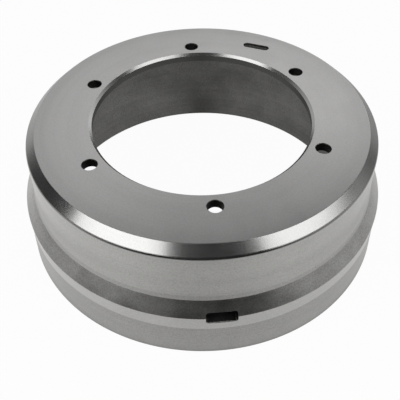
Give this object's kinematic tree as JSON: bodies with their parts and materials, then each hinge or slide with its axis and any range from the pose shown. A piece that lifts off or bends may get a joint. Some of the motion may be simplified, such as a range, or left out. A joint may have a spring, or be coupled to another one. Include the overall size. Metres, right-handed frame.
{
  "type": "brake drum",
  "caption": "Cast iron brake drum with a stepped outer wall, a flange with a pilot bore, bolt holes and a slot, and an inspection window in the wall.",
  "frame": {"origin": "centre of the open end's face, on the axis of the drum", "axes": "+Z along the drum's axis, from the open end to the flange; -Y through the window in the wall and the bolt hole above it"},
  "size_m": [0.4621, 0.462, 0.156],
  "materials": {
    "cast_iron": "turned bare iron, satin"
  },
  "bodies": {
    "root": {"brake_drum": "cast_iron"}
  },
  "joints": []
}
